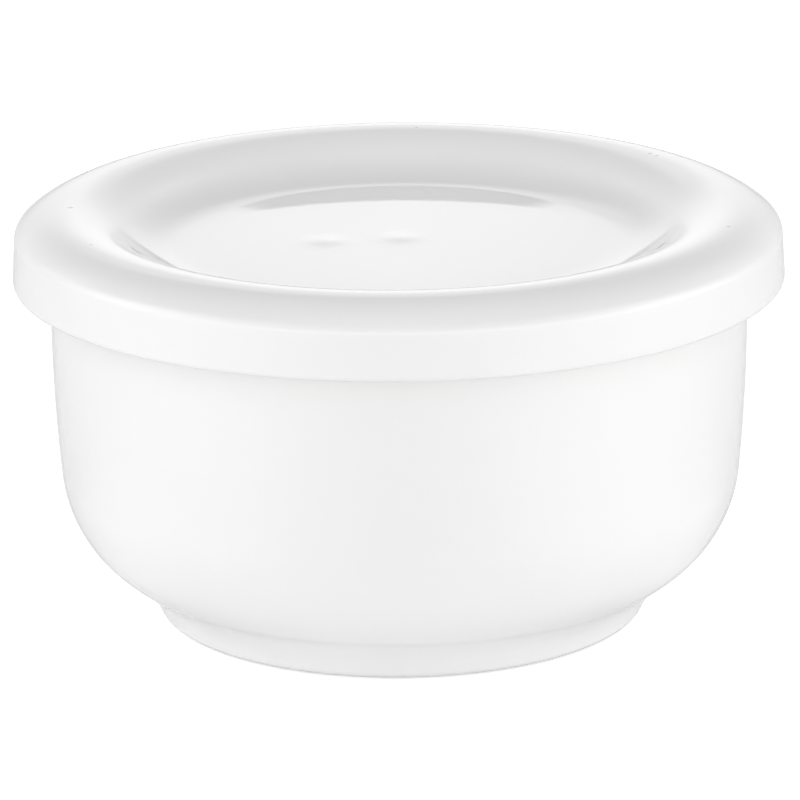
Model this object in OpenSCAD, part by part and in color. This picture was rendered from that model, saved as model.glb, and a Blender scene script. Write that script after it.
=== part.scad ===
// Lidded steaming bowl: a porcelain bowl on a foot ring, closed by a cap lid with a dished top.
// Both pieces are solids of revolution about Z. The origin is the middle of the foot ring, on the table.
// Every section is drawn in the half plane [radius, height] from arcs that run smoothly into each other.

/* [Bowl] */
// Height of the bowl, from the table to the top of its rim
bowl_h = 64.3; // [62:0.1:70]
// Radius of the bowl where its wall is widest
bowl_r = 57.3; // [56.5:0.1:58]
// Height at which the wall is widest
widest_z = 51; // [50:0.5:54]
// Radius of the slight bow in the upright wall
wall_bow = 300; // [280:5:320]
// Lean of the wall, in degrees, where it leaves the belly
wall_lean = 5.1; // [4.6:0.1:5.4]
// Radius of the belly that turns the wall under
belly_round = 22; // [21.5:0.1:22.6]
// Thickness of the wall
wall_t = 4; // [3.5:0.1:4.2]
// Radius of the two rounded corners of the rim
rim_round = 1.2; // [0.6:0.1:1.5]

/* [Foot ring] */
// Outer radius of the flat land that stands on the table
foot_r = 38.6; // [38.3:0.1:38.9]
// Width of that flat land
foot_land = 2.2; // [1.5:0.1:3]
// Radius of the foot's outer edge
foot_round = 2.1; // [1.7:0.1:2.3]
// Radius of the hollow sweep from the foot up into the belly
foot_sweep = 15; // [12:0.5:17]
// Depth of the recess under the bowl
recess_h = 3.5; // [2.5:0.1:3.8]
// Radius of the recess's two corners
recess_round = 1.2; // [0.8:0.1:1.2]

/* [Lid] */
// Play left between the rim and the lid's seat, for the roughness of two ground faces
seat_gap = 0.2; // [0.1:0.05:0.4]
// Thickness of the lid's top
lid_t = 4; // [3.5:0.1:4.5]
// Radius of the skirt where it is widest, close to its lower edge
skirt_r = 63.4; // [63.2:0.1:64.5]
// Depth that the skirt hangs below the seat
skirt_drop = 8; // [7:0.5:9]
// Thickness of the skirt
skirt_t = 3.8; // [3.2:0.1:4]
// Lean of the skirt, in degrees, so that it narrows upwards
skirt_lean = 3.3; // [2:0.1:4]
// Radius of the skirt's two lower edges
skirt_edge = 0.9; // [0.6:0.1:1.2]
// Radius of the corner between the skirt and the shoulder
corner_round = 2.2; // [1.6:0.1:3]
// Radius of the ring on which the lid is highest
crest_r = 54.4; // [54:0.1:54.8]
// Radius of the rounded shoulder, from the crest outwards
crest_round = 12; // [11.8:0.1:12.4]
// Radius of the lip of the dish, from the crest inwards
lip_round = 14.4; // [14:0.1:15]
// Radius of the flat floor of the dished top
dish_r = 32; // [31.5:0.1:32.5]
// Radius at which the gentle rise round that floor turns into the steep side
rise_r = 36.5; // [36.2:0.1:36.8]
// Radius of the section's curve along the gentle rise
rise_round = 100; // [85:5:130]
// Depth of the dished top below the crest
dish_h = 6.6; // [6:0.1:7]
// Radius of the corner where the skirt's inside meets the seat
seat_round = 2; // [1:0.1:2.5]

/* [Hidden] */
porcelain = [0.95, 0.95, 0.94];
$fn = 96;
// Largest gap between an arc and the chords that draw it
chord_gap = 0.02;

// Bowl: centres of its arcs
wall_c = [bowl_r - wall_bow, widest_z];
belly_c = wall_c + (wall_bow - belly_round) * heading(-wall_lean);
foot_c = [foot_r, foot_round];
sweep_c = circles_meet(belly_c, belly_round + foot_sweep, foot_c, foot_round + foot_sweep);
foot_in_c = [foot_r - foot_land, recess_round];
recess_c = [foot_in_c[0] - 2 * recess_round, recess_h - recess_round];
rim_low_z = bowl_h - rim_round;
rim_out_a = asin((rim_low_z - widest_z) / (wall_bow - rim_round));
rim_out_c = wall_c + (wall_bow - rim_round) * heading(rim_out_a);
rim_in_a = asin((rim_low_z - widest_z) / (wall_bow - wall_t + rim_round));
rim_in_c = wall_c + (wall_bow - wall_t + rim_round) * heading(rim_in_a);

// Lid: heights, then the centres of its arcs
seat_z = bowl_h + seat_gap;
crest_z = seat_z + lid_t;
dish_z = crest_z - dish_h;
skirt_z = seat_z - skirt_drop;
lip_c = [crest_r, crest_z - lip_round];
crest_c = [crest_r, crest_z - crest_round];
rise_c = [dish_r, dish_z + rise_round];
rise_a = asin((rise_r - dish_r) / rise_round);
rise_end = rise_c + rise_round * heading(rise_a - 90);
// The steep side starts square to this line, and its radius lets it run smoothly into the lip
rise_up = heading(rise_a + 90);
from_lip = rise_end - lip_c;
dish_round = (from_lip * from_lip - lip_round * lip_round) / (2 * (lip_round - from_lip * rise_up));
dish_c = rise_end + dish_round * rise_up;
dish_slope = angle_to(dish_c, lip_c) + 90;
edge_out_c = [skirt_r - skirt_edge, skirt_z + skirt_edge];
// Distance of the skirt's outer and inner faces from the origin, square to the face
skirt_out = edge_out_c * heading(skirt_lean) + skirt_edge;
skirt_in = skirt_out - skirt_t;
corner_reach = skirt_out - corner_round - crest_c * heading(skirt_lean);
corner_a = skirt_lean + acos(corner_reach / (crest_round - corner_round));
corner_c = crest_c + (crest_round - corner_round) * heading(corner_a);
edge_in_c = on_face(skirt_in + skirt_edge, skirt_z + skirt_edge);
seat_c = on_face(skirt_in - seat_round, seat_z - seat_round);

// Unit vector at an angle
function heading(a) = [cos(a), sin(a)];

// Angle of the line from one point to another
function angle_to(from, to) = atan2(to[1] - from[1], to[0] - from[0]);

// Point at a height that lies a given distance out, square to the leaning skirt
function on_face(distance, z) = [(distance - z * sin(skirt_lean)) / cos(skirt_lean), z];

// Meeting point of two circles, on the outer side of the line between their centres
function circles_meet(c1, r1, c2, r2) =
    let (
        gap = norm(c2 - c1),
        u = (c2 - c1) / gap,
        along = (r1 * r1 - r2 * r2 + gap * gap) / (2 * gap),
        across = sqrt(r1 * r1 - along * along)
    )
    c1 + along * u + across * [-u[1], u[0]];

// Points along an arc, close enough together to hold chord_gap
function arc(centre, radius, from, to) =
    let (
        step = 2 * acos(1 - chord_gap / radius),
        count = ceil(abs(to - from) / step)
    )
    [for (i = [0:count]) centre + radius * heading(from + (to - from) * i / count)];

// Bowl section, from the middle of the recess round the outside and back down the inside
module bowl_section() {
    polygon(concat(
        [[0, recess_h]],
        arc(recess_c, recess_round, 90, 0),
        arc(foot_in_c, recess_round, 180, 270),
        arc(foot_c, foot_round, -90, angle_to(foot_c, sweep_c)),
        arc(sweep_c, foot_sweep, 180 + angle_to(foot_c, sweep_c), 180 + angle_to(belly_c, sweep_c)),
        arc(belly_c, belly_round, angle_to(belly_c, sweep_c), -wall_lean),
        arc(wall_c, wall_bow, -wall_lean, rim_out_a),
        arc(rim_out_c, rim_round, rim_out_a, 90),
        arc(rim_in_c, rim_round, 90, 180 + rim_in_a),
        arc(wall_c, wall_bow - wall_t, rim_in_a, -wall_lean),
        arc(belly_c, belly_round - wall_t, -wall_lean, -90),
        [[0, belly_c[1] - belly_round + wall_t]]
    ));
}

// Lid section, from the middle of the dish over the crest, down the skirt and back along the underside
module lid_section() {
    polygon(concat(
        [[0, dish_z]],
        arc(rise_c, rise_round, -90, rise_a - 90),
        arc(dish_c, dish_round, rise_a - 90, dish_slope - 90),
        arc(lip_c, lip_round, 90 + dish_slope, 90),
        arc(crest_c, crest_round, 90, corner_a),
        arc(corner_c, corner_round, corner_a, skirt_lean),
        arc(edge_out_c, skirt_edge, skirt_lean, -90),
        arc(edge_in_c, skirt_edge, -90, skirt_lean - 180),
        arc(seat_c, seat_round, skirt_lean, 90),
        arc(lip_c, lip_round - lid_t, 90, 90 + dish_slope),
        arc(dish_c, dish_round + lid_t, dish_slope - 90, rise_a - 90),
        arc(rise_c, rise_round + lid_t, rise_a - 90, -90),
        [[0, dish_z - lid_t]]
    ));
}

// Bowl with its foot ring: the rim's flat top is the seat for the lid
module bowl() {
    color(porcelain) rotate_extrude() bowl_section();
}

// Cap lid: the skirt goes round the outside of the rim, and the dish takes the foot of a second bowl
module lid() {
    color(porcelain) rotate_extrude() lid_section();
}

bowl();
lid();
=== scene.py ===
"""Looks of a lidded steaming bowl: a glazed porcelain bowl and its cap lid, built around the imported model.

Each piece is one closed section of arcs, turned round the Z axis as on a potter's wheel.
Lengths are in metres.
"""

import math

import bpy
from bpy.props import FloatProperty, FloatVectorProperty, IntProperty, PointerProperty
from mathutils import Matrix, Vector


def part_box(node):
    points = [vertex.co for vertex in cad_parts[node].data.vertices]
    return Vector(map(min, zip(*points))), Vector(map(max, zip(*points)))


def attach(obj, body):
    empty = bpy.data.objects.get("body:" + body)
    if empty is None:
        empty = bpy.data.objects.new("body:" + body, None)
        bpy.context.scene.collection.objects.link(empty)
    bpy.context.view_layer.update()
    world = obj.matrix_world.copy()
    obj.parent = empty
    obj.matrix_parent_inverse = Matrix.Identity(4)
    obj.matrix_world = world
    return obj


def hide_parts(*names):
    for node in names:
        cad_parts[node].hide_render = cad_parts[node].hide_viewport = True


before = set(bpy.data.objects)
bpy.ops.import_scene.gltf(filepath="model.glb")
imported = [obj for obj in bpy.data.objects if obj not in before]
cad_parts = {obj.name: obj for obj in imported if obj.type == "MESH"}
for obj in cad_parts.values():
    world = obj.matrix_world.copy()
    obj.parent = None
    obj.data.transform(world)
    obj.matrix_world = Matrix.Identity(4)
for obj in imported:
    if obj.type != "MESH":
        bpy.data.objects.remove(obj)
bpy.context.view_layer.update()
bowl_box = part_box("bowl")
lid_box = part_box("lid")

bl_info = {
    "name": "Lidded Steaming Bowl",
    "version": (1, 0, 0),
    "blender": (4, 5, 0),
    "location": "View3D > Sidebar > Bowl",
    "description": "Builds a glazed porcelain steaming bowl with its cap lid, and a white studio round it",
    "category": "Add Mesh",
}

MM = 0.001
QUARTER = math.radians(90)
WHITE = (1, 1, 1, 1)
# Places of the two finishes among a piece's materials
GLAZED = 0
BARE = 1

# Low swellings in the floor of the dish: their places on the lid, their spread and their height
SWELLINGS = ((-12 * MM, 1.5 * MM), (0.3 * MM, 3.2 * MM))
SWELLING_SPREAD = 2 * MM
SWELLING_HEIGHT = 0.18 * MM
# Pinholes in the glaze round the lid's crest, painted grey, partly as their own grey and partly as painted
# shade of their pits, which the mesh does not have: their places and radii in millimetres, and the share of a
# radius within which they are darkest
PINHOLES = (
    ((-53.7, -0.1, 68.5), 0.7),
    ((-49.2, -23.6, 68.5), 0.4),
    ((3.3, 52.4, 68.4), 0.4),
    ((42.7, 32.4, 68.5), 0.6),
    ((43.8, 30.9, 68.5), 0.5),
    ((53.3, -16.0, 68.4), 0.5),
)
PINHOLE_CORE = 0.2

# Porcelain: how strongly it bends light
PORCELAIN_IOR = 1.5
# Glaze: breadth of the patches that it gathers in, length and height of its orange-peel waves, and its
# roughness where it lies full and where it runs thin
MOTTLE_BREADTH = 25 * MM
PEEL_LENGTH = 6 * MM
PEEL_HEIGHT = 0.008 * MM
FULL_ROUGHNESS = 0.03
THIN_ROUGHNESS = 0.06
# Bare body: breadth and height of its grit, how much of that height shows, and its roughness
GRIT_BREADTH = 0.4 * MM
GRIT_HEIGHT = 0.05 * MM
GRIT_STRENGTH = 0.3
BARE_ROUGHNESS = 0.65


def linear_colour(hex_code):
    """Linear red, green and blue of an sRGB hex colour"""
    levels = [int(hex_code[i:i + 2], 16) / 255 for i in (1, 3, 5)]
    return tuple(c / 12.92 if c <= 0.04045 else ((c + 0.055) / 1.055) ** 2.4 for c in levels)


def length(name, description, millimetres):
    """Property for a length, given in millimetres"""
    return FloatProperty(
        name=name,
        description=description,
        default=millimetres * MM,
        min=0,
        subtype="DISTANCE",
        unit="LENGTH",
    )


def angle(name, description, degrees):
    """Property for an angle, given in degrees"""
    return FloatProperty(
        name=name,
        description=description,
        default=math.radians(degrees),
        subtype="ANGLE",
        unit="ROTATION",
    )


def colour(name, description, hex_code):
    """Property for a colour, given as an sRGB hex value"""
    return FloatVectorProperty(
        name=name,
        description=description,
        default=linear_colour(hex_code),
        min=0,
        max=1,
        subtype="COLOR",
    )


class BowlSizes(bpy.types.PropertyGroup):
    """Sizes of the bowl's section"""

    rim_height: length("Rim height", "Height of the rim above the table", bowl_box[1].z / MM)
    widest_radius: length("Widest radius", "Radius where the wall is widest", bowl_box[1].x / MM)
    widest_height: length("Widest height", "Height at which the wall is widest", 51)
    wall_bow: length("Wall bow", "Radius of the slight bow in the upright wall", 300)
    wall_lean: angle("Wall lean", "Lean of the wall where it leaves the belly", 5.1)
    belly_round: length("Belly radius", "Radius of the belly that turns the wall under", 22)
    wall: length("Wall", "Thickness of the wall", 4)
    rim_round: length("Rim radius", "Radius of the rim's two corners", 1.2)
    foot_radius: length("Foot radius", "Outer radius of the land that stands on the table", 38.6)
    foot_land: length("Foot land", "Width of the bare land that stands on the table", 2.2)
    foot_round: length("Foot edge", "Radius of the foot's outer edge", 2.1)
    foot_sweep: length("Foot sweep", "Radius of the hollow sweep from the foot into the belly", 15)
    recess_depth: length("Recess depth", "Depth of the recess under the bowl", 3.5)
    recess_round: length("Recess radius", "Radius of the recess's two corners", 1.2)


class LidSizes(bpy.types.PropertyGroup):
    """Sizes of the lid's section"""

    crest_height: length("Crest height", "Height of the lid's highest ring", lid_box[1].z / MM)
    skirt_radius: length("Skirt radius", "Radius of the skirt where it is widest", lid_box[1].x / MM)
    skirt_height: length("Skirt height", "Height of the skirt's lower edge", lid_box[0].z / MM)
    thickness: length("Thickness", "Thickness of the lid's top", 4)
    skirt: length("Skirt thickness", "Thickness of the skirt", 3.8)
    skirt_lean: angle("Skirt lean", "Lean of the skirt, which narrows upwards", 3.3)
    skirt_edge: length("Skirt edge", "Radius of the skirt's two lower edges", 0.9)
    corner_round: length("Corner radius", "Radius between the skirt and the shoulder", 2.2)
    crest_radius: length("Crest ring", "Radius of the ring on which the lid is highest", 54.4)
    crest_round: length("Shoulder radius", "Radius of the shoulder, from the crest outwards", 12)
    lip_round: length("Lip radius", "Radius of the dish's lip, from the crest inwards", 14.4)
    dish_radius: length("Dish radius", "Radius of the flat floor of the dish", 32)
    rise_radius: length("Rise radius", "Radius where the gentle rise round the floor meets the side", 36.5)
    rise_round: length("Rise curve", "Radius of the section's curve along the gentle rise", 100)
    dish_depth: length("Dish depth", "Depth of the dish below the crest", 6.6)
    seat_round: length("Seat radius", "Radius where the skirt's inside meets the seat", 2)


class PorcelainLooks(bpy.types.PropertyGroup):
    """Fineness of the turned meshes and colours of the porcelain"""

    ring_sides: IntProperty(
        name="Ring sides", description="Faces round each turned ring", default=256, min=32
    )
    ring_gap: length("Ring gap", "Largest gap between two rings of a section", 0.9)
    glaze: colour("Glaze", "White of the glaze where it lies full", "#F0F0F0")
    thin_glaze: colour("Thin glaze", "White of the glaze where it runs thin", "#EDEDED")
    bare_body: colour("Bare body", "Colour of the ground porcelain with no glaze", "#E7E5E1")
    # The pinholes' grey is partly their own and partly painted shade of their pits, which the mesh does not
    # have
    pinhole: colour("Pinhole", "Grey of the pinholes that the firing left in the glaze", "#C8C6C2")


class StageLooks(bpy.types.PropertyGroup):
    """Camera and plain studio round the bowl"""

    camera_distance: length("Camera distance", "Distance from the camera to its aim", 993.36)
    camera_height: angle("Camera height", "Angle of the camera above the table", 16.55)
    camera_roll: angle("Camera roll", "Turn of the camera about its own view", -0.55)
    aim_height: length("Aim height", "Height of the point that the camera aims at", 35)
    focal_length: FloatProperty(
        name="Focal length",
        description="Focal length of the lens, in millimetres",
        default=270,
        subtype="DISTANCE_CAMERA",
    )
    floor_size: length("Floor size", "Width of the floor", 8000)
    floor: colour("Floor", "White of the floor", "#F4F4F4")


def heading(turn):
    """Unit vector in the section plane, radius first and height second"""
    return Vector((math.cos(turn), math.sin(turn)))


def turn_to(start, end):
    """Angle of the line from one point of the section to another"""
    return math.atan2(end.y - start.y, end.x - start.x)


def circles_meet(first, first_radius, second, second_radius):
    """Meeting point of two circles, on the left of the line from the first centre to the second"""
    line = second - first
    gap = line.length
    along = (first_radius ** 2 - second_radius ** 2 + gap ** 2) / (2 * gap)
    across = math.sqrt(first_radius ** 2 - along ** 2)
    line.normalize()
    return first + along * line + across * Vector((-line.y, line.x))


class Section:
    """Half section of a turned piece: points from axis to axis, and the finish of each stretch between"""

    # Largest turn between two points of an arc, and the gap below which two points are one
    finest_turn = math.radians(3)
    same_point = 0.001 * MM

    def __init__(self, start, ring_gap):
        self.ring_gap = ring_gap
        self.points = [start]
        self.finishes = []

    def line(self, end, finish=GLAZED):
        """Straight stretch to a point, cut into short steps"""
        start = self.points[-1]
        steps = max(1, math.ceil((end - start).length / self.ring_gap))
        for step in range(1, steps + 1):
            self.points.append(start.lerp(end, step / steps))
            self.finishes.append(finish)

    def arc(self, centre, radius, start_turn, end_turn, finish=GLAZED):
        """Round stretch about a centre, after a straight one to where it starts"""
        start = centre + radius * heading(start_turn)
        if (start - self.points[-1]).length > self.same_point:
            self.line(start, finish)
        sweep = end_turn - start_turn
        steps = math.ceil(max(abs(sweep) / self.finest_turn, abs(sweep) * radius / self.ring_gap))
        for step in range(1, steps + 1):
            self.points.append(centre + radius * heading(start_turn + sweep * step / steps))
            self.finishes.append(finish)


def bowl_section(bowl, ring_gap):
    """Section of the bowl, from the middle of the recess round the outside and back down the inside"""
    wall_c = Vector((bowl.widest_radius - bowl.wall_bow, bowl.widest_height))
    belly_c = wall_c + (bowl.wall_bow - bowl.belly_round) * heading(-bowl.wall_lean)
    foot_c = Vector((bowl.foot_radius, bowl.foot_round))
    sweep_c = circles_meet(
        belly_c, bowl.belly_round + bowl.foot_sweep, foot_c, bowl.foot_round + bowl.foot_sweep
    )
    foot_in_c = Vector((bowl.foot_radius - bowl.foot_land, bowl.recess_round))
    recess_c = Vector((foot_in_c.x - 2 * bowl.recess_round, bowl.recess_depth - bowl.recess_round))
    rim_rise = bowl.rim_height - bowl.rim_round - bowl.widest_height
    out_reach = bowl.wall_bow - bowl.rim_round
    in_reach = bowl.wall_bow - bowl.wall + bowl.rim_round
    out_turn = math.asin(rim_rise / out_reach)
    in_turn = math.asin(rim_rise / in_reach)
    inner_belly = bowl.belly_round - bowl.wall

    section = Section(Vector((0, bowl.recess_depth)), ring_gap)
    section.arc(recess_c, bowl.recess_round, QUARTER, 0)
    section.arc(foot_in_c, bowl.recess_round, 2 * QUARTER, 3 * QUARTER)
    section.line(Vector((bowl.foot_radius, 0)), BARE)
    section.arc(foot_c, bowl.foot_round, -QUARTER, turn_to(foot_c, sweep_c))
    from_foot = 2 * QUARTER + turn_to(foot_c, sweep_c)
    to_belly = 2 * QUARTER + turn_to(belly_c, sweep_c)
    section.arc(sweep_c, bowl.foot_sweep, from_foot, to_belly)
    section.arc(belly_c, bowl.belly_round, turn_to(belly_c, sweep_c), -bowl.wall_lean)
    section.arc(wall_c, bowl.wall_bow, -bowl.wall_lean, out_turn)
    section.arc(wall_c + out_reach * heading(out_turn), bowl.rim_round, out_turn, QUARTER)
    section.arc(wall_c + in_reach * heading(in_turn), bowl.rim_round, QUARTER, 2 * QUARTER + in_turn, BARE)
    section.arc(wall_c, bowl.wall_bow - bowl.wall, in_turn, -bowl.wall_lean)
    section.arc(belly_c, inner_belly, -bowl.wall_lean, -QUARTER)
    section.line(Vector((0, belly_c.y - inner_belly)))
    return section


def lid_section(lid, ring_gap):
    """Section of the lid, from the middle of the dish over the crest, down the skirt and back underneath"""
    dish_floor = lid.crest_height - lid.dish_depth
    seat = lid.crest_height - lid.thickness
    lip_c = Vector((lid.crest_radius, lid.crest_height - lid.lip_round))
    crest_c = Vector((lid.crest_radius, lid.crest_height - lid.crest_round))
    rise_c = Vector((lid.dish_radius, dish_floor + lid.rise_round))
    rise_turn = math.asin((lid.rise_radius - lid.dish_radius) / lid.rise_round)
    rise_end = rise_c + lid.rise_round * heading(rise_turn - QUARTER)
    # The steep side starts square to this line, and its radius lets it run smoothly into the lip
    rise_up = heading(rise_turn + QUARTER)
    from_lip = rise_end - lip_c
    outside_lip = from_lip.length_squared - lid.lip_round ** 2
    dish_round = outside_lip / (2 * (lid.lip_round - from_lip.dot(rise_up)))
    dish_c = rise_end + dish_round * rise_up
    dish_slope = turn_to(dish_c, lip_c) + QUARTER
    edge_c = Vector((lid.skirt_radius - lid.skirt_edge, lid.skirt_height + lid.skirt_edge))
    # Distance of the skirt's outer face from the origin, square to the face, and of its inner face
    lean = heading(lid.skirt_lean)
    skirt_out = edge_c.dot(lean) + lid.skirt_edge
    skirt_in = skirt_out - lid.skirt
    corner_reach = lid.crest_round - lid.corner_round
    skirt_reach = skirt_out - lid.corner_round - crest_c.dot(lean)
    corner_turn = lid.skirt_lean + math.acos(skirt_reach / corner_reach)
    corner_c = crest_c + corner_reach * heading(corner_turn)

    def on_face(distance, z):
        """Point at a height that lies a given distance out, square to the leaning skirt"""
        return Vector(((distance - z * lean.y) / lean.x, z))

    edge_in_c = on_face(skirt_in + lid.skirt_edge, lid.skirt_height + lid.skirt_edge)
    seat_c = on_face(skirt_in - lid.seat_round, seat - lid.seat_round)

    section = Section(Vector((0, dish_floor)), ring_gap)
    section.arc(rise_c, lid.rise_round, -QUARTER, rise_turn - QUARTER)
    section.arc(dish_c, dish_round, rise_turn - QUARTER, dish_slope - QUARTER)
    section.arc(lip_c, lid.lip_round, QUARTER + dish_slope, QUARTER)
    section.arc(crest_c, lid.crest_round, QUARTER, corner_turn)
    section.arc(corner_c, lid.corner_round, corner_turn, lid.skirt_lean)
    section.arc(edge_c, lid.skirt_edge, lid.skirt_lean, -QUARTER)
    section.arc(edge_in_c, lid.skirt_edge, -QUARTER, lid.skirt_lean - 2 * QUARTER, BARE)
    section.arc(seat_c, lid.seat_round, lid.skirt_lean, QUARTER)
    section.arc(lip_c, lid.lip_round - lid.thickness, QUARTER, QUARTER + dish_slope)
    section.arc(dish_c, dish_round + lid.thickness, dish_slope - QUARTER, rise_turn - QUARTER)
    section.arc(rise_c, lid.rise_round + lid.thickness, rise_turn - QUARTER, -QUARTER)
    section.line(Vector((0, dish_floor - lid.thickness)))
    return section


def turned_piece(name, section, sides, materials):
    """Closed smooth mesh made by turning a section that starts and ends on the axis"""
    turns = [2 * math.pi * side / sides for side in range(sides)]
    first, *rings, last = section.points
    vertices = [(p.x * math.cos(t), p.x * math.sin(t), p.y) for p in rings for t in turns]
    first_pole = len(vertices)
    last_pole = first_pole + 1
    vertices += [(0, 0, first.y), (0, 0, last.y)]
    last_ring = (len(rings) - 1) * sides
    faces = []
    finishes = []
    for side in range(sides):
        after = (side + 1) % sides
        faces.append((first_pole, after, side))
        finishes.append(section.finishes[0])
        for ring in range(len(rings) - 1):
            here = ring * sides
            there = here + sides
            faces.append((here + side, here + after, there + after, there + side))
            finishes.append(section.finishes[ring + 1])
        faces.append((last_ring + side, last_ring + after, last_pole))
        finishes.append(section.finishes[-1])
    mesh = bpy.data.meshes.new(name)
    mesh.from_pydata(vertices, [], faces)
    for material in materials:
        mesh.materials.append(material)
    mesh.polygons.foreach_set("material_index", finishes)
    mesh.shade_smooth()
    mesh.update()
    piece = bpy.data.objects.new(name, mesh)
    bpy.context.scene.collection.objects.link(piece)
    return piece


def raise_swellings(piece, height):
    """Raise the swellings on the part of a piece that lies flat at a height"""
    flatness = 0.01 * MM
    for vertex in piece.data.vertices:
        if abs(vertex.co.z - height) > flatness:
            continue
        place = vertex.co.xy
        for swelling in SWELLINGS:
            away = (place - Vector(swelling)).length / SWELLING_SPREAD
            vertex.co.z += SWELLING_HEIGHT * math.exp(-away ** 2 / 2)
    piece.data.update()


def add_node(tree, kind, inputs=None, **settings):
    """Add a node with its settings; an input is a plain value or the output socket that feeds it"""
    node = tree.nodes.new(kind)
    for name, value in settings.items():
        setattr(node, name, value)
    for name, value in (inputs or {}).items():
        if isinstance(value, bpy.types.NodeSocket):
            tree.links.new(value, node.inputs[name])
        else:
            node.inputs[name].default_value = value
    return node


def new_material(name):
    """Empty node material"""
    material = bpy.data.materials.new(name)
    material.use_nodes = True
    material.node_tree.nodes.clear()
    return material


def glazed_porcelain(looks):
    """Porcelain fired under a clear gloss glaze.

    The eye sees an even, neutral white with sharp reflections, a very faint mottle where the glaze runs
    thicker and thinner, a soft orange-peel wave in the reflections, and a few pinholes round the lid's
    crest, whose grey is partly their own and partly painted shade of their pits, which the mesh lacks.
    """
    material = bpy.data.materials.get("glazed_porcelain")
    if material:
        return material
    material = new_material("glazed_porcelain")
    tree = material.node_tree
    place = add_node(tree, "ShaderNodeTexCoord").outputs["Object"]
    mottle = add_node(
        tree,
        "ShaderNodeTexNoise",
        {"Vector": place, "Scale": 1 / MOTTLE_BREADTH, "Detail": 3.0, "Roughness": 0.5},
    )
    white = add_node(
        tree,
        "ShaderNodeMix",
        {"Factor": mottle.outputs["Fac"], "A": (*looks.glaze, 1), "B": (*looks.thin_glaze, 1)},
        data_type="RGBA",
    )
    # Grey spots at the pinholes, darkest in the middle: partly their own grey, partly painted shade of their
    # pits
    pinholes = 0.0
    for middle, radius in PINHOLES:
        away = add_node(
            tree, "ShaderNodeVectorMath", {0: place, 1: [c * MM for c in middle]}, operation="DISTANCE"
        ).outputs["Value"]
        pinhole = add_node(
            tree,
            "ShaderNodeMapRange",
            {
                "Value": away,
                "From Min": PINHOLE_CORE * radius * MM,
                "From Max": radius * MM,
                "To Min": 1.0,
                "To Max": 0.0,
            },
            interpolation_type="SMOOTHSTEP",
        ).outputs["Result"]
        pinholes = add_node(
            tree, "ShaderNodeMath", {0: pinhole, 1: pinholes}, operation="MAXIMUM"
        ).outputs[0]
    colour_seen = add_node(
        tree,
        "ShaderNodeMix",
        {"Factor": pinholes, "A": white.outputs["Result"], "B": (*looks.pinhole, 1)},
        data_type="RGBA",
    )
    peel = add_node(tree, "ShaderNodeTexNoise", {"Vector": place, "Scale": 1 / PEEL_LENGTH, "Detail": 1.0})
    wave = add_node(
        tree, "ShaderNodeBump", {"Height": peel.outputs["Fac"], "Strength": 1.0, "Distance": PEEL_HEIGHT}
    )
    # The gloss is a little softer where the glaze runs thin
    gloss = add_node(
        tree,
        "ShaderNodeMapRange",
        {"Value": mottle.outputs["Fac"], "To Min": FULL_ROUGHNESS, "To Max": THIN_ROUGHNESS},
    )
    shader = add_node(
        tree,
        "ShaderNodeBsdfPrincipled",
        {
            "Base Color": colour_seen.outputs["Result"],
            "IOR": PORCELAIN_IOR,
            "Roughness": gloss.outputs["Result"],
            "Normal": wave.outputs["Normal"],
        },
    )
    add_node(tree, "ShaderNodeOutputMaterial", {"Surface": shader.outputs["BSDF"]})
    return material


def bare_porcelain(looks):
    """Porcelain body ground smooth where it had no glaze, on the foot, the rim and the skirt's inner edge.

    The eye sees a matt, very slightly creamy white with a fine grit.
    """
    material = bpy.data.materials.get("bare_porcelain")
    if material:
        return material
    material = new_material("bare_porcelain")
    tree = material.node_tree
    place = add_node(tree, "ShaderNodeTexCoord").outputs["Object"]
    grit = add_node(tree, "ShaderNodeTexNoise", {"Vector": place, "Scale": 1 / GRIT_BREADTH, "Detail": 2.0})
    height = add_node(
        tree,
        "ShaderNodeBump",
        {"Height": grit.outputs["Fac"], "Strength": GRIT_STRENGTH, "Distance": GRIT_HEIGHT},
    )
    shader = add_node(
        tree,
        "ShaderNodeBsdfPrincipled",
        {
            "Base Color": (*looks.bare_body, 1),
            "IOR": PORCELAIN_IOR,
            "Roughness": BARE_ROUGHNESS,
            "Normal": height.outputs["Normal"],
        },
    )
    add_node(tree, "ShaderNodeOutputMaterial", {"Surface": shader.outputs["BSDF"]})
    return material


def place_piece(piece, node):
    """Let a piece stand for its CAD node and move with the body of that name"""
    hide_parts(node)
    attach(piece, node)


class BOWL_OT_bowl(bpy.types.Operator):
    """Turn the porcelain bowl with its foot ring"""

    bl_idname = "steaming_bowl.bowl"
    bl_label = "Porcelain Bowl"

    def execute(self, context):
        looks = context.scene.porcelain_looks
        section = bowl_section(context.scene.bowl_sizes, looks.ring_gap)
        finishes = [glazed_porcelain(looks), bare_porcelain(looks)]
        piece = turned_piece("porcelain_bowl", section, looks.ring_sides, finishes)
        place_piece(piece, "bowl")
        return {"FINISHED"}


class BOWL_OT_lid(bpy.types.Operator):
    """Turn the porcelain cap lid with its dished top"""

    bl_idname = "steaming_bowl.lid"
    bl_label = "Porcelain Lid"

    def execute(self, context):
        looks = context.scene.porcelain_looks
        lid = context.scene.lid_sizes
        section = lid_section(lid, looks.ring_gap)
        finishes = [glazed_porcelain(looks), bare_porcelain(looks)]
        piece = turned_piece("porcelain_lid", section, looks.ring_sides, finishes)
        raise_swellings(piece, lid.crest_height - lid.dish_depth)
        place_piece(piece, "lid")
        return {"FINISHED"}


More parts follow.
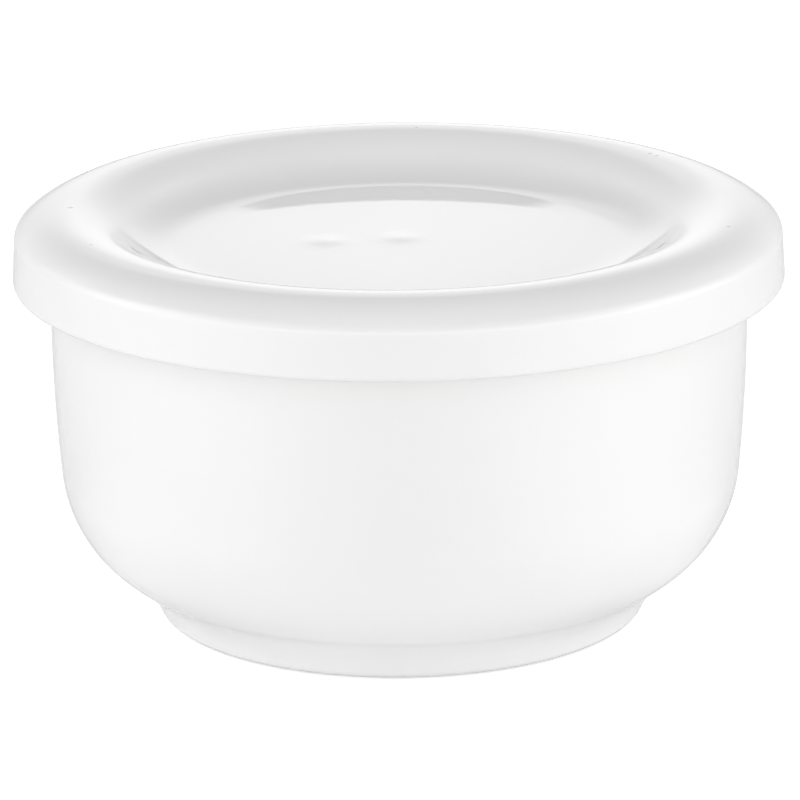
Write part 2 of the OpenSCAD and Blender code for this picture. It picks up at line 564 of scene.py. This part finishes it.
# Softboxes of the studio: brightness, then in degrees the bearing from straight behind the bowl, half the
# width and its soft edge, the height above the table, half the height and its soft edge
SOFTBOXES = {
    "left": (5.0, -89, 13, 109, 27, 13, 49),
    "right": (2.3, 90, 20, 78, 14, 32, 48),
    "front": (2.75, 177, 89, 118, 2, 12, 30),
    "back": (0.77, 0, 43, 26, 13, 14, 40),
    "backdrop": (0.7, 0, 8, 24, 10, 14, 20),
    "back_strip": (0.5, -3, 8, 10, 29, 5, 8),
    "rear_left": (0.52, -47, 7, 15, 27, 11, 12),
    "rear_right": (0.6, 45, 9, 20, 30, 12, 15),
    "top": (0.35, 0, 180, 10, 90, 13, 26),
}
# Light of the tent itself
AMBIENT = 0.3

# Floor: matt, lit for the camera so that it shows white, and with painted light that only reflections see, in
# two lobes below the softboxes and an apron in front of the foot. Each has a bearing, half a width and a soft
# edge, in degrees.
FLOOR_ROUGHNESS = 0.9
FLOOR_FOR_CAMERA = 0.4
LOBES = {"left": (-122, 29, 55), "right": (122, 32, 55)}
APRON = (180, 32, 46)
# Painted glow of both at the foot, and its changes with the distance from the axis, seen only in reflections;
# the lobes are kept dark near the foot as a painted shade of the bowl, and the apron is a painted pool of
# light in front of it: where each change starts and ends, in millimetres, and how large it is
LOBE_GLOW = 0.0
LOBE_CHANGES = ((43, 58, 0.5), (58, 110, 0.4))
APRON_GLOW = 0.33
APRON_CHANGES = ((45, 50, 0.1), (56, 85, -0.43))


def turn_from(tree, place, bearing):
    """Angle from a bearing, given in degrees from the +Y axis towards the +X axis, to a place"""
    bearing = math.radians(bearing)
    ahead = (math.sin(bearing), math.cos(bearing), 0)
    aside = (math.cos(bearing), -math.sin(bearing), 0)
    forward = add_node(tree, "ShaderNodeVectorMath", {0: place, 1: ahead}, operation="DOT_PRODUCT")
    sideways = add_node(tree, "ShaderNodeVectorMath", {0: place, 1: aside}, operation="DOT_PRODUCT")
    return add_node(
        tree,
        "ShaderNodeMath",
        {0: sideways.outputs["Value"], 1: forward.outputs["Value"]},
        operation="ARCTAN2",
    ).outputs[0]


def soft_span(tree, offset, half, soft):
    """Share that is 1 in the middle of a span and fades to 0 over its soft edges, given in degrees"""
    away = add_node(tree, "ShaderNodeMath", {0: offset}, operation="ABSOLUTE").outputs[0]
    share = add_node(
        tree,
        "ShaderNodeMapRange",
        {
            "Value": away,
            "From Min": math.radians(half - soft / 2),
            "From Max": math.radians(half + soft / 2),
            "To Min": 1.0,
            "To Max": 0.0,
        },
        interpolation_type="SMOOTHSTEP",
    )
    return share.outputs["Result"]


def outward_glow(tree, distance, glow, changes):
    """Glow that changes smoothly over stretches of the distance from the axis, given in millimetres"""
    for start, end, change in changes:
        stretch = add_node(
            tree,
            "ShaderNodeMapRange",
            {"Value": distance, "From Min": start * MM, "From Max": end * MM, "To Max": change},
            interpolation_type="SMOOTHSTEP",
        ).outputs["Result"]
        glow = add_node(tree, "ShaderNodeMath", {0: stretch, 1: glow}, operation="ADD").outputs[0]
    return glow


def studio_world():
    """Dim tent with soft-edged softboxes, seen as plain white by the camera"""
    world = bpy.data.worlds.new("light_tent")
    world.use_nodes = True
    tree = world.node_tree
    tree.nodes.clear()
    view = add_node(tree, "ShaderNodeTexCoord").outputs["Generated"]
    height = add_node(tree, "ShaderNodeSeparateXYZ", {"Vector": view}).outputs["Z"]
    rise = add_node(tree, "ShaderNodeMath", {0: height}, operation="ARCSINE").outputs[0]
    light = AMBIENT
    for brightness, bearing, half_width, soft_width, middle, half_height, soft_height in SOFTBOXES.values():
        across = soft_span(tree, turn_from(tree, view, bearing), half_width, soft_width)
        above = add_node(tree, "ShaderNodeMath", {0: rise, 1: math.radians(middle)}, operation="SUBTRACT")
        upwards = soft_span(tree, above.outputs[0], half_height, soft_height)
        box = add_node(tree, "ShaderNodeMath", {0: across, 1: upwards}, operation="MULTIPLY").outputs[0]
        lamp = add_node(tree, "ShaderNodeMath", {0: box, 1: brightness, 2: light}, operation="MULTIPLY_ADD")
        light = lamp.outputs[0]
    seen = add_node(tree, "ShaderNodeLightPath").outputs["Is Camera Ray"]
    tent = add_node(tree, "ShaderNodeBackground", {"Color": WHITE, "Strength": light})
    backdrop = add_node(tree, "ShaderNodeBackground", {"Color": WHITE, "Strength": 1.0})
    mix = add_node(
        tree,
        "ShaderNodeMixShader",
        {0: seen, 1: tent.outputs["Background"], 2: backdrop.outputs["Background"]},
    )
    add_node(tree, "ShaderNodeOutputWorld", {"Surface": mix.outputs["Shader"]})
    return world


def studio_floor(stage, foot_radius):
    """Wide white floor that keeps the bowl's shadow, seen brighter by the camera, and with painted light in
    lobes and an apron and painted shade beside the foot, which only reflections see
    """
    material = new_material("white_paper_with_painted_glow")
    tree = material.node_tree
    path = add_node(tree, "ShaderNodeLightPath")
    place = add_node(tree, "ShaderNodeTexCoord").outputs["Object"]
    distance = add_node(tree, "ShaderNodeVectorMath", {0: place}, operation="LENGTH").outputs["Value"]
    lobes = 0.0
    for bearing, half_width, soft_width in LOBES.values():
        lobe = soft_span(tree, turn_from(tree, place, bearing), half_width, soft_width)
        lobes = add_node(tree, "ShaderNodeMath", {0: lobe, 1: lobes}, operation="MAXIMUM").outputs[0]
    in_lobes = outward_glow(tree, distance, LOBE_GLOW, LOBE_CHANGES)
    in_apron = outward_glow(tree, distance, APRON_GLOW, APRON_CHANGES)
    front_bearing, front_half, front_soft = APRON
    front = soft_span(tree, turn_from(tree, place, front_bearing), front_half, front_soft)
    apron = add_node(tree, "ShaderNodeMath", {0: front, 1: in_apron}, operation="MULTIPLY").outputs[0]
    # Painted light of the lobes and the apron, with painted shade beside the foot, shown only to reflections
    mirrored = add_node(
        tree, "ShaderNodeMath", {0: lobes, 1: in_lobes, 2: apron}, operation="MULTIPLY_ADD"
    ).outputs[0]
    in_mirror = add_node(
        tree, "ShaderNodeMath", {0: mirrored, 1: path.outputs["Is Glossy Ray"]}, operation="MULTIPLY"
    ).outputs[0]
    glow = add_node(
        tree,
        "ShaderNodeMath",
        {0: path.outputs["Is Camera Ray"], 1: FLOOR_FOR_CAMERA, 2: in_mirror},
        operation="MULTIPLY_ADD",
    ).outputs[0]
    shader = add_node(
        tree,
        "ShaderNodeBsdfPrincipled",
        {
            "Base Color": (*stage.floor, 1),
            "Roughness": FLOOR_ROUGHNESS,
            "Emission Color": WHITE,
            "Emission Strength": glow,
        },
    )
    # Clear from behind, and where the bowl stands on it, so that the underside can be seen from below
    behind = add_node(tree, "ShaderNodeNewGeometry").outputs["Backfacing"]
    under_bowl = add_node(tree, "ShaderNodeMath", {0: distance, 1: foot_radius}, operation="LESS_THAN")
    open_floor = add_node(
        tree, "ShaderNodeMath", {0: behind, 1: under_bowl.outputs[0]}, operation="MAXIMUM"
    ).outputs[0]
    clear = add_node(tree, "ShaderNodeBsdfTransparent")
    mix = add_node(
        tree, "ShaderNodeMixShader", {0: open_floor, 1: shader.outputs["BSDF"], 2: clear.outputs["BSDF"]}
    )
    add_node(tree, "ShaderNodeOutputMaterial", {"Surface": mix.outputs["Shader"]})
    half = stage.floor_size / 2
    corners = [(-half, -half, 0), (half, -half, 0), (half, half, 0), (-half, half, 0)]
    mesh = bpy.data.meshes.new("studio_floor")
    mesh.from_pydata(corners, [], [(0, 1, 2, 3)])
    mesh.materials.append(material)
    floor = bpy.data.objects.new("studio_floor", mesh)
    bpy.context.scene.collection.objects.link(floor)


def studio_camera(stage):
    """Long lens at the height and roll of the photograph"""
    data = bpy.data.cameras.new("studio_camera")
    data.lens = stage.focal_length
    camera = bpy.data.objects.new("studio_camera", data)
    bpy.context.scene.collection.objects.link(camera)
    back = Vector((0, -math.cos(stage.camera_height), math.sin(stage.camera_height)))
    place = Vector((0, 0, stage.aim_height)) + stage.camera_distance * back
    tilt = Matrix.Rotation(QUARTER - stage.camera_height, 4, "X")
    roll = Matrix.Rotation(stage.camera_roll, 4, "Z")
    camera.matrix_world = Matrix.Translation(place) @ tilt @ roll
    bpy.context.scene.camera = camera


class BOWL_OT_stage(bpy.types.Operator):
    """Set up the white floor, the light tent and the camera"""

    bl_idname = "steaming_bowl.stage"
    bl_label = "White Studio"

    def execute(self, context):
        stage = context.scene.stage_looks
        context.scene.world = studio_world()
        studio_floor(stage, context.scene.bowl_sizes.foot_radius)
        studio_camera(stage)
        context.scene.view_settings.view_transform = "Standard"
        return {"FINISHED"}


class BOWL_PT_panel(bpy.types.Panel):
    """Sizes and looks of the bowl, with buttons that build its pieces and the studio"""

    bl_idname = "BOWL_PT_panel"
    bl_label = "Lidded Steaming Bowl"
    bl_space_type = "VIEW_3D"
    bl_region_type = "UI"
    bl_category = "Bowl"

    def draw(self, context):
        for name, settings in SETTINGS.items():
            column = self.layout.column()
            for key in settings.__annotations__:
                column.prop(getattr(context.scene, name), key)
            if name in OPERATORS:
                column.operator(OPERATORS[name].bl_idname)


# Groups of settings by their names in the scene, and the operators that use them
SETTINGS = {
    "porcelain_looks": PorcelainLooks,
    "bowl_sizes": BowlSizes,
    "lid_sizes": LidSizes,
    "stage_looks": StageLooks,
}
OPERATORS = {
    "bowl_sizes": BOWL_OT_bowl,
    "lid_sizes": BOWL_OT_lid,
    "stage_looks": BOWL_OT_stage,
}
CLASSES = (*SETTINGS.values(), *OPERATORS.values(), BOWL_PT_panel)


def register():
    """Add the classes and the scene's settings"""
    for item in CLASSES:
        bpy.utils.register_class(item)
    for name, group in SETTINGS.items():
        setattr(bpy.types.Scene, name, PointerProperty(type=group))


def unregister():
    """Take the settings and the classes away again"""
    for name in SETTINGS:
        delattr(bpy.types.Scene, name)
    for item in reversed(CLASSES):
        bpy.utils.unregister_class(item)


def main():
    """Build the pieces and the stage"""
    register()
    bpy.ops.steaming_bowl.bowl()
    bpy.ops.steaming_bowl.lid()
    bpy.ops.steaming_bowl.stage()


if __name__ == "__main__":
    main()
